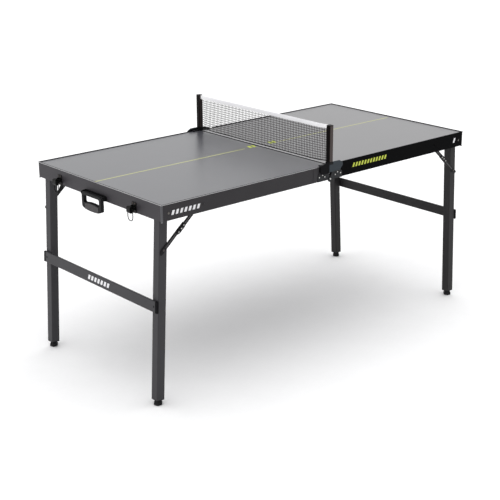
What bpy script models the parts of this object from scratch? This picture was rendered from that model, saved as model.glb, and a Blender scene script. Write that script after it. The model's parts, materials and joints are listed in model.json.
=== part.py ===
"""Folding ping pong table: two framed half tops on a pivot hinge at the net line, each with a
folding leg frame held by two-arm braces, a carry handle and draw latches on the left end, and
a lift-off net set. Metres, +Z up, +X to the right half, the floor at z = 0 under the net."""

import math

import bmesh
import bpy
from mathutils import Matrix, Vector

# Driving dimensions
LENGTH = 1.607
WIDTH = 0.787
HEIGHT = 0.756
APRON = 0.0575
LEG_SIZE = 0.0345
LEG_LEAN = math.radians(3.16)
LEG_PIVOT_INSET = 0.030
LEG_PIVOT_DROP = 0.031
CROSSBAR_HEIGHT = 0.042
CROSSBAR_DROP = 0.376
NET_HEIGHT = 0.1525

# Shared clearances and small sizes
GAP = 0.0003
SEAM = 0.0010
MITRE_GAP = 0.0008
RUNNING = 0.00025
PIN_SIDES = 16

# Half tops
PANEL = 0.012
LIP = 0.0032
WEB = 0.0025
LEDGE = 0.020
LEDGE_THICK = 0.002
BEAD = 0.0045
BEAD_HEIGHT = 0.005
RAIL_ROUND = 0.002
CORNER = 0.006
CORNER_DROP = 0.0008

# Fold hinge at the net line, on both outer side faces
LEAF_LENGTH = 0.064
LEAF_HEIGHT = 0.0295
LEAF_THICK = 0.002
LUG_RADIUS = 0.009
FOLD_PIN_RADIUS = 0.0026

# Depths inward from the outer side face
ARM_THICK = 0.0025
UPPER_ARM_DEPTH = 0.0193
LOWER_ARM_DEPTH = 0.0239
LEG_DEPTH = 0.027

# Leg frames
TUBE_WALL = 0.0015
LEG_TOP = 0.007
TUBE_END_Z = 0.024
CROSSBAR_THICK = 0.0085
PLUG_LIP = 0.002
PLUG_DEPTH = 0.012
PIVOT_RADIUS = 0.003
SLEEVE_RADIUS = 0.006
BOLT_HEAD_RADIUS = 0.0042
FOOT_RADIUS = 0.017
FOOT_NECK_RADIUS = 0.0125
FOOT_HEIGHT = 0.0195
FOOT_STEM_RADIUS = 0.004

# Folding braces
BRACE_PIVOT_X = 0.1535
BRACE_PIVOT_DROP = 0.029
BRACE_ON_LEG = 0.1382
ARM_WIDTH = 0.015

# Carry handle on the left end
HANDLE_WIDTH = 0.1235
HANDLE_DROP = 0.0395
HANDLE_HEIGHT = 0.062
HANDLE_THICK = 0.014
HANDLE_OUT = 0.0155
HANDLE_ARM = 0.0125
HANDLE_GRIP = 0.0225
HANDLE_BAR = 0.0118
HANDLE_BELLY = 0.0045
HANDLE_PIN_DROP = 0.0065
HANDLE_PIN_RADIUS = 0.004
HANDLE_PIN_INSET = 0.010
MOUNT_THICK = 0.0035
MOUNT_RADIUS = 0.0075

# Draw latches on the left end
LATCH_Y = 0.238
LATCH_PIVOT_DROP = 0.039
LATCH_PIVOT_OUT = 0.010
LATCH_WIDTH = 0.0256
LATCH_PLATE = 0.002
LATCH_HEIGHT = 0.040
LATCH_PIN_RADIUS = 0.002
LEVER_WIDTH = 0.020
BAIL_OUT = 0.019
BAIL_DROP = 0.041
BAIL_WIDTH = 0.0295
BAIL_LENGTH = 0.0435
BAIL_CORNER = 0.0035
BAIL_NOSE = 0.016
WIRE_RADIUS = 0.0016

# Net set
POST_SIZE = 0.020
POST_INSET = 0.002
POST_TOP = 0.154
BRACKET_THICK = 0.005
BRACKET_BOSS = 0.012
TAPE_WIDTH = 0.015
TAPE_THICK = 0.0032
NET_THICK = 0.0016
NET_BOTTOM = 0.008

HALF_LENGTH = LENGTH / 2
HALF_WIDTH = WIDTH / 2
APRON_Z = HEIGHT - APRON
LEDGE_Z = HEIGHT - PANEL - GAP
LEG_PIVOT = Vector((HALF_LENGTH - LEG_PIVOT_INSET, 0, HEIGHT - LEG_PIVOT_DROP))
BRACE_PIVOT = Vector((LEG_PIVOT.x - BRACE_PIVOT_X, 0, HEIGHT - BRACE_PIVOT_DROP))
LEG_Y = HALF_WIDTH - LEG_DEPTH - LEG_SIZE / 2
POST_Y = HALF_WIDTH - POST_INSET
HANDLE_AXIS_Z = HEIGHT - HANDLE_DROP - HANDLE_PIN_DROP
LATCH_PIVOT_Z = HEIGHT - LATCH_PIVOT_DROP
BAIL_Z = HEIGHT - BAIL_DROP
HALVES = {"left": -1, "right": 1}
SIDES = {"near": -1, "far": 1}


def clear_scene():
    for obj in list(bpy.data.objects):
        bpy.data.objects.remove(obj)


def material(name, colour, roughness, metallic=0.0):
    mat = bpy.data.materials.new(name)
    mat.use_nodes = True
    shader = mat.node_tree.nodes["Principled BSDF"]
    shader.inputs["Base Color"].default_value = (*colour, 1)
    shader.inputs["Roughness"].default_value = roughness
    shader.inputs["Metallic"].default_value = metallic
    return mat


def link(obj, parent=None):
    bpy.context.scene.collection.objects.link(obj)
    obj.parent = parent
    return obj


def pivot(name, place, parent=None):
    """An empty on a joint's axis, given in its parent's frame."""
    empty = link(bpy.data.objects.new(name, None), parent)
    empty.matrix_basis = place
    empty.empty_display_size = 0.03
    return empty


def finish(name, bm, mat, parent=None, round_piece=False):
    """The bmesh as a named object of its parent's frame."""
    bmesh.ops.recalc_face_normals(bm, faces=bm.faces)
    mesh = bpy.data.meshes.new(name)
    bm.to_mesh(mesh)
    bm.free()
    if mat:
        mesh.materials.append(mat)
    if round_piece:
        mesh.shade_smooth()
        mesh.set_sharp_from_angle(angle=math.radians(35))
    return link(bpy.data.objects.new(name, mesh), parent)


def boolean(target, name, bm, operation):
    """Cuts or joins the bmesh, which becomes a hidden guide in the target's frame."""
    guide = finish(name, bm, None, target.parent)
    guide.hide_render = True
    guide.display_type = "WIRE"
    change = target.modifiers.new(name, "BOOLEAN")
    change.operation = operation
    change.solver = "EXACT"
    change.object = guide
    return target


def soften(obj, width):
    """Rounds an object's sharp edges."""
    bevel = obj.modifiers.new("soft_edges", "BEVEL")
    bevel.width = width
    bevel.segments = 2
    bevel.limit_method = "ANGLE"
    bevel.angle_limit = math.radians(40)


def arc(x, y, radius, start, end, steps):
    """Points on an arc, its angles in degrees."""
    angles = [math.radians(start + (end - start) * i / steps) for i in range(steps + 1)]
    return [(x + radius * math.cos(a), y + radius * math.sin(a)) for a in angles]


def rounded_rectangle(low, high, radius, steps=3):
    (x0, y0), (x1, y1) = low, high
    corners = ((x1, y1, 0), (x0, y1, 90), (x0, y0, 180), (x1, y0, 270))
    points = []
    for x, y, start in corners:
        cx = x - math.copysign(radius, x - (x0 + x1) / 2)
        cy = y - math.copysign(radius, y - (y0 + y1) / 2)
        points += arc(cx, cy, radius, start, start + 90, steps)
    return points


def circle(x, y, radius, sides=PIN_SIDES):
    return arc(x, y, radius, 0, 360, sides)[:-1]


def in_space(point, axis, height):
    """A point of a flat outline, lifted to a height along the axis it is extruded on."""
    u, v = point
    return {"x": (height, u, v), "y": (u, height, v), "z": (u, v, height)}[axis]


def prism(bm, outlines, axis, low, high):
    """An extruded outline; the outlines after the first are holes in it."""
    edges = []
    for outline in outlines:
        verts = [bm.verts.new(in_space(p, axis, low)) for p in outline]
        edges += [bm.edges.new((verts[i - 1], verts[i])) for i in range(len(verts))]
    filled = bmesh.ops.triangle_fill(bm, edges=edges, use_beauty=True, use_dissolve=False)
    faces = [f for f in filled["geom"] if isinstance(f, bmesh.types.BMFace)]
    lifted = bmesh.ops.extrude_face_region(bm, geom=faces, use_keep_orig=True)["geom"]
    step = Vector(in_space((0, 0), axis, high - low))
    moved = [v for v in lifted if isinstance(v, bmesh.types.BMVert)]
    bmesh.ops.translate(bm, verts=moved, vec=step)


def turned(bm, profile, place, sides=PIN_SIDES):
    """A profile of (radius, height) turned about the local Z axis, closed where it meets it."""
    rings = []
    for radius, height in profile:
        if radius == 0:
            rings.append([bm.verts.new(place @ Vector((0, 0, height)))])
            continue
        points = circle(0, 0, radius, sides)
        rings.append([bm.verts.new(place @ Vector((x, y, height))) for x, y in points])
    for a, b in zip(rings, rings[1:]):
        for i in range(sides):
            j = (i + 1) % sides
            corners = [a[i % len(a)], a[j % len(a)], b[j % len(b)], b[i % len(b)]]
            bm.faces.new(list(dict.fromkeys(corners)))


def inward(x, z, side, depth=0.0):
    """A frame at a point on a side face, its Z axis pointing in across the table."""
    turn = Matrix.Rotation(math.radians(90) * side, 4, "X")
    return Matrix.Translation((x, side * (HALF_WIDTH - depth), z)) @ turn


def wire_loop(bm, path, radius, sides=8):
    """A round wire along a closed path of points in a plane facing X."""
    rings = []
    count = len(path)
    for i in range(count):
        here = Vector(path[i])
        tangent = (Vector(path[(i + 1) % count]) - Vector(path[i - 1])).normalized()
        across = tangent.cross(Vector((1, 0, 0)))
        spokes = circle(0, 0, radius, sides)
        rings.append([bm.verts.new(here + across * u + Vector((v, 0, 0))) for u, v in spokes])
    for i in range(count):
        a, b = rings[i], rings[(i + 1) % count]
        for k in range(sides):
            m = (k + 1) % sides
            bm.faces.new((a[k], a[m], b[m], b[k]))


def rail_profile():
    """The apron rail's section as (depth inward, height, whether its end is mitred)."""
    edge = [(x, HEIGHT + y, False) for x, y in arc(RAIL_ROUND, -RAIL_ROUND, RAIL_ROUND, 180, 90, 3)]
    return [
        (0, APRON_Z, False),
        *edge,
        (LIP, HEIGHT, False),
        (LIP, LEDGE_Z, True),
        (LEDGE, LEDGE_Z, True),
        (LEDGE, LEDGE_Z - LEDGE_THICK, True),
        (WEB, LEDGE_Z - LEDGE_THICK, True),
        (WEB, APRON_Z + BEAD_HEIGHT, False),
        (BEAD, APRON_Z + BEAD_HEIGHT - 0.001, False),
        (BEAD, APRON_Z, False),
    ]


def rail(name, start, end, inward_axis, trim_start, trim_end, mat, parent):
    """A rail between two corners of its half. Its ledge is mitred to meet the next rail's."""
    start, end, inward_axis = Vector(start), Vector(end), Vector(inward_axis)
    along = (end - start).normalized()
    bm = bmesh.new()
    ends = ([], [])
    sides = (ends[0], start, along, trim_start), (ends[1], end, -along, trim_end)
    for depth, height, mitred in rail_profile():
        for verts, outer_corner, step, trim in sides:
            back = max(trim, depth + MITRE_GAP) if mitred else trim
            point = outer_corner + step * back + inward_axis * depth
            verts.append(bm.verts.new((point.x, point.y, height)))
    count = len(ends[0])
    for i in range(count):
        bm.faces.new((ends[0][i - 1], ends[0][i], ends[1][i], ends[1][i - 1]))
    for verts in ends:
        bmesh.ops.triangle_fill(bm, edges=[bm.edges.get((verts[i - 1], verts[i])) for i in range(count)])
    return finish(name, bm, mat, parent)


def drill(target, x, z, side, depth_low, depth_high):
    """A pivot's hole across the table, through a side rail or a leg."""
    bm, r = bmesh.new(), PIVOT_RADIUS + RUNNING
    turned(bm, [(0, depth_low), (r, depth_low), (r, depth_high), (0, depth_high)], inward(x, z, side))
    return boolean(target, f"hole_{target.name}", bm, "DIFFERENCE")


def half_top(half, mats, parent):
    sign, mat = HALVES[half], mats[f"rail_{half}"]
    outer, seam = sign * HALF_LENGTH, sign * SEAM
    trim = CORNER + GAP
    for side, y_sign in SIDES.items():
        y = y_sign * HALF_WIDTH
        ends = (outer, y, 0), (seam, y, 0)
        side_rail = rail(f"side_rail_{side}_{half}", *ends, (0, -y_sign, 0), trim, 0, mat, parent)
        drill(side_rail, sign * LEG_PIVOT.x, LEG_PIVOT.z, y_sign, -0.005, 0.004)
        brace_stud(side_rail, sign, y_sign)
        corner_cover(f"corner_{side}_{half}", sign, y_sign, mats["corner"], parent)
        leg_bolt(f"leg_bolt_{side}_{half}", sign, y_sign, mats["steel"], parent)
    ends = (outer, -HALF_WIDTH, 0), (outer, HALF_WIDTH, 0)
    rail(f"end_rail_{half}", *ends, (-sign, 0, 0), trim, trim, mat, parent)
    ends = (seam, -HALF_WIDTH, 0), (seam, HALF_WIDTH, 0)
    rail(f"middle_rail_{half}", *ends, (sign, 0, 0), BEAD + GAP, BEAD + GAP, mat, parent)
    top_panel(half, mats, parent)


def top_panel(half, mats, parent):
    """The playing board, rounded at the two outer corners to follow the corner pieces."""
    sign = HALVES[half]
    seam = SEAM + LIP + GAP
    outer = HALF_LENGTH - LIP - GAP
    edge = HALF_WIDTH - LIP - GAP
    radius = CORNER - LIP - GAP
    outline = [(seam, -edge)]
    outline += arc(outer - radius, -edge + radius, radius, -90, 0, 4)
    outline += arc(outer - radius, edge - radius, radius, 0, 90, 4)
    outline += [(seam, edge)]
    bm = bmesh.new()
    prism(bm, [[(sign * x, y) for x, y in outline]], "z", HEIGHT - PANEL, HEIGHT - GAP)
    finish(f"top_panel_{half}", bm, mats["panel"], parent)


def corner_cover(name, sign, y_sign, mat, parent):
    """A moulded quarter-round cover between two rails."""
    cx, cy = HALF_LENGTH - CORNER, HALF_WIDTH - CORNER
    outline = arc(cx, cy, CORNER, 0, 90, 5) + arc(cx, cy, CORNER - LIP, 90, 0, 5)
    bm = bmesh.new()
    prism(bm, [[(sign * x, y_sign * y) for x, y in outline]], "z", APRON_Z - CORNER_DROP, HEIGHT)
    finish(name, bm, mat, parent)


def bolt_head(first):
    """The outer half of a bolt's profile, from its domed head to a depth in the side rail."""
    r = BOLT_HEAD_RADIUS
    return [(0, -0.0020), (r - 0.0013, -0.0020), (r, -0.0011), (r, first)]


def brace_stud(side_rail, sign, y_sign):
    """A stud staked through the side rail, whose collar holds the upper brace arm off it."""
    bm, r = bmesh.new(), PIVOT_RADIUS
    collar, end = UPPER_ARM_DEPTH - GAP, UPPER_ARM_DEPTH + ARM_THICK
    profile = bolt_head(0.001) + [(SLEEVE_RADIUS, 0.001), (SLEEVE_RADIUS, collar)]
    profile += [(r, collar), (r, end), (0, end)]
    turned(bm, profile, inward(sign * BRACE_PIVOT.x, BRACE_PIVOT.z, y_sign))
    boolean(side_rail, f"stud_{side_rail.name}", bm, "UNION")


def leg_bolt(name, sign, y_sign, mat, parent):
    """A bolt through the side rail and the leg, with its spacing sleeve and its nut."""
    bm, r = bmesh.new(), PIVOT_RADIUS
    sleeve, nut = LEG_DEPTH - GAP, LEG_DEPTH + LEG_SIZE + GAP
    inside, nut_radius, nut_top = WEB + GAP, 0.0055, nut + 0.004
    profile = bolt_head(-GAP) + [(r, -GAP), (r, inside), (SLEEVE_RADIUS, inside)]
    profile += [(SLEEVE_RADIUS, sleeve), (r, sleeve), (r, nut)]
    profile += [(nut_radius, nut), (nut_radius, nut_top), (0, nut_top)]
    turned(bm, profile, inward(sign * LEG_PIVOT.x, LEG_PIVOT.z, y_sign))
    finish(name, bm, mat, parent, round_piece=True)


def leaf_outline(sign):
    """A hinge leaf on one side of the fold pin, with its lug round it."""
    points = arc(0, 0, LUG_RADIUS, -180, 90, 15)
    points += [(-0.010, LEAF_HEIGHT), (-LEAF_LENGTH + 0.006, LEAF_HEIGHT)]
    points += [(-LEAF_LENGTH, LEAF_HEIGHT - 0.006), (-LEAF_LENGTH, 0)]
    return [(-sign * x, APRON_Z + z) for x, z in points]


def fold_hinge(side, y_sign, mats, parents):
    """The left leaf lies on the side face with the pin staked in it, under the right one's lug."""
    inner = HALF_WIDTH + GAP
    middle = inner + LEAF_THICK
    outer = middle + GAP + LEAF_THICK
    left, right, clear, pin = (bmesh.new() for _ in range(4))
    prism(left, [leaf_outline(-1)], "y", *sorted((y_sign * inner, y_sign * middle)))
    hole = circle(0, APRON_Z, FOLD_PIN_RADIUS + RUNNING)
    prism(right, [leaf_outline(1), hole], "y", *sorted((y_sign * inner, y_sign * outer)))
    low, high = sorted((y_sign * (inner - 0.001), y_sign * (middle + GAP)))
    prism(clear, [circle(0, APRON_Z, LUG_RADIUS + 0.0012, 32)], "y", low, high)
    r, head = FOLD_PIN_RADIUS, outer + GAP
    profile = [(0, inner + 0.0008), (r, inner + 0.0008), (r, head), (0.0045, head)]
    profile += [(0.0045, head + 0.0009), (0.003, head + 0.0015), (0, head + 0.0015)]
    turned(pin, [(radius, HALF_WIDTH - y) for radius, y in profile], inward(0, APRON_Z, y_sign))
    leaf = finish(f"hinge_leaf_{side}_left", left, mats["hinge"], parents["left"])
    boolean(leaf, f"fold_pin_{side}", pin, "UNION")
    leaf = finish(f"hinge_leaf_{side}_right", right, mats["hinge"], parents["right"])
    boolean(leaf, f"lug_clearance_{side}", clear, "DIFFERENCE")


def down_leg(z):
    """How far along the leg, from its pivot, a height is."""
    return (LEG_PIVOT.z - z) / math.cos(LEG_LEAN)


def leg_frame(half, mats):
    """The folding leg frame, in a frame on its pivot whose Z axis runs up the legs."""
    sign = HALVES[half]
    lean = Matrix.Rotation(-sign * LEG_LEAN, 4, "Y")
    frame = pivot(f"leg_fold_{half}", Matrix.Translation((sign * LEG_PIVOT.x, 0, LEG_PIVOT.z)) @ lean)
    size, hollow = LEG_SIZE / 2, LEG_SIZE / 2 - TUBE_WALL
    tube_end = down_leg(TUBE_END_Z)
    outer = rounded_rectangle((-size, -size), (size, size), 0.003)
    inner = rounded_rectangle((-hollow, -hollow), (hollow, hollow), 0.0015)
    for side, y_sign in SIDES.items():
        y = y_sign * LEG_Y
        bm = bmesh.new()
        prism(bm, [[(u, y + v) for u, v in outer], [(u, y + v) for u, v in inner]], "z", -tube_end, LEG_TOP)
        leg = finish(f"leg_{side}_{half}", bm, mats["leg"], frame)
        drill(leg, 0, 0, y_sign, LEG_DEPTH - 0.002, LEG_DEPTH + LEG_SIZE + 0.002)
        brace_rivet(leg, y_sign)
        plug(f"leg_plug_{side}_{half}", y, -tube_end - GAP, mats["plastic"], frame)
        foot(half, side, mats, frame)
    crossbar(half, mats, frame)
    return frame


def brace_rivet(leg, y_sign):
    """The rivet staked in the leg's outer face, on which the lower brace arm turns."""
    bm, r = bmesh.new(), PIVOT_RADIUS
    head = LOWER_ARM_DEPTH - GAP
    profile = [(0, head - 0.0013), (0.005, head - 0.0013), (0.005, head), (r, head)]
    profile += [(r, LEG_DEPTH + 0.001), (0, LEG_DEPTH + 0.001)]
    turned(bm, profile, inward(0, -BRACE_ON_LEG, y_sign))
    boolean(leg, f"rivet_{leg.name}", bm, "UNION")


def plug(name, y, top, mat, frame):
    """A square insert with a lip under the tube's end, bored for the foot's stem."""
    size = LEG_SIZE / 2
    inside = size - TUBE_WALL - GAP
    lower = [(u, y + v) for u, v in rounded_rectangle((-size, -size), (size, size), 0.003)]
    upper = [(u, y + v) for u, v in rounded_rectangle((-inside, -inside), (inside, inside), 0.0012)]
    bore = circle(0, y, FOOT_STEM_RADIUS + 0.0012)
    bm = bmesh.new()
    levels = [(lower, top - PLUG_LIP), (lower, top), (upper, top), (upper, top + PLUG_DEPTH)]
    rings = [[bm.verts.new((u, v, z)) for u, v in outline] for outline, z in levels]
    bores = [[bm.verts.new((u, v, z)) for u, v in bore] for z in (levels[0][1], levels[3][1])]
    for a, b in [*zip(rings, rings[1:]), bores]:
        for i in range(len(a)):
            bm.faces.new((a[i - 1], a[i], b[i], b[i - 1]))
    for ring, hole in ((rings[0], bores[0]), (rings[3], bores[1])):
        edges = [bm.edges.get((loop[i - 1], loop[i])) for loop in (ring, hole) for i in range(len(loop))]
        bmesh.ops.triangle_fill(bm, edges=edges, use_beauty=True)
    finish(name, bm, mat, frame)


def crossbar(half, mats, frame):
    """A flat tube on the outer faces of both legs, ending flush with their sides."""
    sign = HALVES[half]
    face = LEG_SIZE / 2 + GAP
    centre = -down_leg(HEIGHT - CROSSBAR_DROP)
    z0, z1 = centre - CROSSBAR_HEIGHT / 2, centre + CROSSBAR_HEIGHT / 2
    x0, x1 = sorted((sign * face, sign * (face + CROSSBAR_THICK)))
    w = TUBE_WALL
    outer = rounded_rectangle((x0, z0), (x1, z1), 0.002)
    inner = rounded_rectangle((x0 + w, z0 + w), (x1 - w, z1 - w), 0.001)
    reach = HALF_WIDTH - LEG_DEPTH
    bm = bmesh.new()
    prism(bm, [outer, inner], "y", -reach, reach)
    finish(f"crossbar_{half}", bm, mats["leg"], frame)


def foot(half, side, mats, frame):
    """A hexagonal levelling foot that turns on an upright axis under its leg."""
    sign, y = HALVES[half], SIDES[side] * LEG_Y
    under_tube = LEG_PIVOT.x + math.tan(LEG_LEAN) * (LEG_PIVOT.z - TUBE_END_Z)
    centre = Vector((sign * under_tube, y, 0))
    place = frame.matrix_basis.inverted() @ Matrix.Translation(centre)
    turn = pivot(f"foot_turn_{side}_{half}", place, frame)
    bm = bmesh.new()
    chamfer, rim = 0.0025, 0.009
    pad = [(0, 0), (FOOT_RADIUS - chamfer, 0), (FOOT_RADIUS, chamfer), (FOOT_RADIUS, rim)]
    pad += [(FOOT_NECK_RADIUS, FOOT_HEIGHT), (0, FOOT_HEIGHT)]
    turned(bm, pad, Matrix.Rotation(math.radians(48), 4, "Z"), 6)
    body = finish(f"foot_{side}_{half}", bm, mats["plastic"], turn)
    stem = bmesh.new()
    r, top = FOOT_STEM_RADIUS, FOOT_HEIGHT + 0.011
    turned(stem, [(0, 0.012), (r, 0.012), (r, top), (0, top)], Matrix())
    boolean(body, f"foot_stem_{side}_{half}", stem, "UNION")


def arm_lengths():
    """The two arms reach each other in a straight line at rest, and lie on each other when folded."""
    leg_point = Vector((math.sin(LEG_LEAN), 0, -math.cos(LEG_LEAN))) * BRACE_ON_LEG + LEG_PIVOT
    reach = (BRACE_PIVOT - leg_point).length
    spare = BRACE_PIVOT_X - BRACE_ON_LEG
    return (reach + spare) / 2, (reach - spare) / 2, leg_point


def brace_arm(name, start, end, y, mat, parent, hole):
    """A flat steel link with round ends, its frame on its pivot and its X axis along it."""
    direction = end - start
    turn = Matrix.Rotation(math.atan2(-direction.z, direction.x), 4, "Y")
    place = Matrix.Translation((start.x, y, start.z)) @ turn
    local = parent.matrix_basis.inverted() @ place if parent else place
    frame = pivot(f"{name}_pivot", local, parent)
    r, length = ARM_WIDTH / 2, direction.length
    outline = arc(0, 0, r, 90, 270, 8) + arc(length, 0, r, -90, 90, 8)
    bm = bmesh.new()
    holes = [circle(0, 0, hole)] if hole else []
    prism(bm, [outline, *holes], "y", -ARM_THICK / 2, ARM_THICK / 2)
    finish(name, bm, mat, frame)


def braces(half, mats, frame):
    sign = HALVES[half]
    upper, lower, leg_point = arm_lengths()
    line = (leg_point - BRACE_PIVOT).normalized()
    elbow = BRACE_PIVOT + line * upper
    hole = PIVOT_RADIUS + RUNNING
    mirrored = [Vector((sign * p.x, 0, p.z)) for p in (BRACE_PIVOT, elbow, leg_point)]
    for side, y_sign in SIDES.items():
        upper_y = y_sign * (HALF_WIDTH - UPPER_ARM_DEPTH - ARM_THICK / 2)
        lower_y = y_sign * (HALF_WIDTH - LOWER_ARM_DEPTH - ARM_THICK / 2)
        name, mat = f"{side}_{half}", mats["brace"]
        brace_arm(f"brace_upper_{name}", mirrored[0], mirrored[1], upper_y, mat, None, hole)
        brace_arm(f"brace_lower_{name}", mirrored[2], mirrored[1], lower_y, mat, frame, hole)


def handle_outline():
    """The handle's outline, its grip bellied below."""
    w, top, bottom = HANDLE_WIDTH / 2, HANDLE_PIN_DROP, HANDLE_PIN_DROP - HANDLE_HEIGHT
    side, corner = bottom + 0.012, 0.010
    depth = side - bottom + HANDLE_BELLY
    outline = arc(w - corner, top - corner, corner, 0, 90, 5)
    outline += arc(corner - w, top - corner, corner, 90, 180, 5)
    for u, v in arc(0, 0, 1, 180, 360, 18):
        outline.append((w * math.copysign(abs(u) ** 0.8, u), side - depth * abs(v) ** 0.8))
    return outline


def handle_window():
    """The finger gap, its lower edge arched over the grip."""
    w, top, bottom = HANDLE_WIDTH / 2, HANDLE_PIN_DROP, HANDLE_PIN_DROP - HANDLE_HEIGHT
    reach, low, high, corner = w - HANDLE_ARM, bottom + HANDLE_GRIP, top - HANDLE_BAR, 0.006
    outline = arc(reach - corner, high - corner, corner, 0, 90, 5)
    outline += arc(corner - reach, high - corner, corner, 90, 180, 5)
    outline += arc(corner - reach, low + corner, corner, 180, 270, 5)
    span = reach - corner
    for i in range(1, 10):
        y = span * (i / 5 - 1)
        outline.append((y, low + HANDLE_BELLY * (1 - (y / span) ** 2)))
    return outline + arc(reach - corner, low + corner, corner, 270, 360, 5)


def handle(mats):
    """A moulded carry handle that hangs on stub pins in two mounts on the left end rail."""
    x = -HALF_LENGTH - HANDLE_OUT
    turn = pivot("handle_swing", Matrix.Translation((x, 0, HANDLE_AXIS_Z)))
    w = HANDLE_WIDTH / 2
    bm = bmesh.new()
    prism(bm, [handle_outline(), handle_window()], "x", -HANDLE_THICK / 2, HANDLE_THICK / 2)
    grip = finish("carry_handle", bm, mats["plastic"], turn)
    soften(grip, 0.0025)
    pins = bmesh.new()
    r, reach = HANDLE_PIN_RADIUS, HANDLE_PIN_INSET + GAP + MOUNT_THICK
    for y_sign in SIDES.values():
        across = Matrix.Rotation(math.radians(-90) * y_sign, 4, "X")
        place = Matrix.Translation((0, y_sign * (w - HANDLE_PIN_INSET), 0)) @ across
        turned(pins, [(0, 0), (r, 0), (r, reach), (0, reach)], place)
    boolean(grip, "handle_pins", pins, "UNION")
    for side, y_sign in SIDES.items():
        handle_mount(side, y_sign, x, mats)


def handle_mount(side, y_sign, x, mats):
    """A cheek that stands off the end rail beside the handle, with the bearing of its pin."""
    inner = HANDLE_WIDTH / 2 + GAP
    face, foot_low, foot_high = -HALF_LENGTH - GAP, APRON_Z + 0.001, APRON_Z + 0.0205
    outline = [(face, foot_low), (face, foot_high)] + arc(x, HANDLE_AXIS_Z, MOUNT_RADIUS, 80, 260, 8)
    hole = circle(x, HANDLE_AXIS_Z, HANDLE_PIN_RADIUS + RUNNING)
    bm = bmesh.new()
    prism(bm, [outline, hole], "y", *sorted((y_sign * inner, y_sign * (inner + MOUNT_THICK))))
    finish(f"handle_mount_{side}", bm, mats["plastic"])


def latch(side, y, mats):
    """A draw latch: a base with ears, a lever that hangs from its pin, and the wire bail it pulls."""
    latch_base(side, y, mats)
    latch_lever(side, y, mats)
    latch_bail(side, y, mats)
    latch_strike(side, y, mats)


def latch_base(side, y, mats):
    """A plate on the end rail with two ears, and the lever's pin staked through them."""
    w, t, h = LATCH_WIDTH / 2, LATCH_PLATE, LATCH_HEIGHT / 2
    back, pin_x, ear = -HALF_LENGTH - GAP, -HALF_LENGTH - LATCH_PIVOT_OUT, 0.0045
    plate, pin = bmesh.new(), bmesh.new()
    outline = [(y + u, LATCH_PIVOT_Z + v) for u, v in rounded_rectangle((-w, -h), (w, h), 0.004)]
    prism(plate, [outline], "x", back - t, back)
    base = finish(f"latch_base_{side}", plate, mats["latch"])
    profile = [(back - t / 2, LATCH_PIVOT_Z - 0.010), (back - t / 2, LATCH_PIVOT_Z + 0.008)]
    profile += arc(pin_x, LATCH_PIVOT_Z, ear, 90, 270, 8)
    for name, y_sign in SIDES.items():
        cheek = bmesh.new()
        prism(cheek, [profile], "y", *sorted((y + y_sign * w, y + y_sign * (w - t))))
        boolean(base, f"latch_ear_{name}_{side}", cheek, "UNION")
    r, reach = LATCH_PIN_RADIUS, w - t / 2
    place = Matrix.Translation((pin_x, y, LATCH_PIVOT_Z)) @ Matrix.Rotation(math.radians(90), 4, "X")
    turned(pin, [(0, -reach), (r, -reach), (r, reach), (0, reach)], place)
    boolean(base, f"latch_pin_{side}", pin, "UNION")


def latch_lever(side, y, mats):
    """A thick lever whose tip is pulled up to let the bail go."""
    place = Matrix.Translation((-HALF_LENGTH - LATCH_PIVOT_OUT, y, LATCH_PIVOT_Z))
    turn = pivot(f"latch_lever_pivot_{side}", place)
    bail = (LATCH_PIVOT_OUT - BAIL_OUT, BAIL_Z - LATCH_PIVOT_Z)
    outline = arc(0, 0, 0.0048, 100, -80, 8)
    outline += arc(-0.0105, -0.0090, 0.0080, -60, -180, 6)
    outline += arc(-0.0123, 0.0020, 0.0062, 180, 80, 5)
    holes = [circle(0, 0, LATCH_PIN_RADIUS + RUNNING, 12), circle(*bail, WIRE_RADIUS + RUNNING, 12)]
    bm = bmesh.new()
    prism(bm, [outline, *holes], "y", -LEVER_WIDTH / 2, LEVER_WIDTH / 2)
    finish(f"latch_lever_{side}", bm, mats["latch"], turn)


def latch_bail(side, y, mats):
    """A closed wire loop with a rounded nose, turning in the lever's tip."""
    turn = pivot(f"latch_bail_pivot_{side}", Matrix.Translation((-HALF_LENGTH - BAIL_OUT, y, BAIL_Z)))
    w, r, nose = BAIL_WIDTH / 2, BAIL_CORNER, BAIL_NOSE - BAIL_LENGTH
    path = arc(w - r, -r, r, 0, 90, 3) + arc(r - w, -r, r, 90, 180, 3)
    path += [(w * u, nose + BAIL_NOSE * v) for u, v in arc(0, 0, 1, 180, 360, 10)]
    bm = bmesh.new()
    wire_loop(bm, [(0, u, v) for u, v in path], WIRE_RADIUS)
    finish(f"latch_bail_{side}", bm, mats["steel"], turn, round_piece=True)


def latch_strike(side, y, mats):
    """A J hook on the right end rail that a bail pulls on when the table is folded."""
    face, low, t = HALF_LENGTH + GAP, APRON_Z + 0.010, 0.002
    outline = [
        (face, low), (face, low + 0.028), (face + t, low + 0.028), (face + t, low + 0.008),
        (face + 0.008, low + 0.008), (face + 0.0085, low + 0.014), (face + 0.0105, low + 0.014),
        (face + 0.0105, low + 0.006), (face + t, low + 0.006), (face + t, low),
    ]
    bm = bmesh.new()
    prism(bm, [outline], "y", y - 0.010, y + 0.010)
    finish(f"latch_strike_{side}", bm, mats["latch"])


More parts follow.
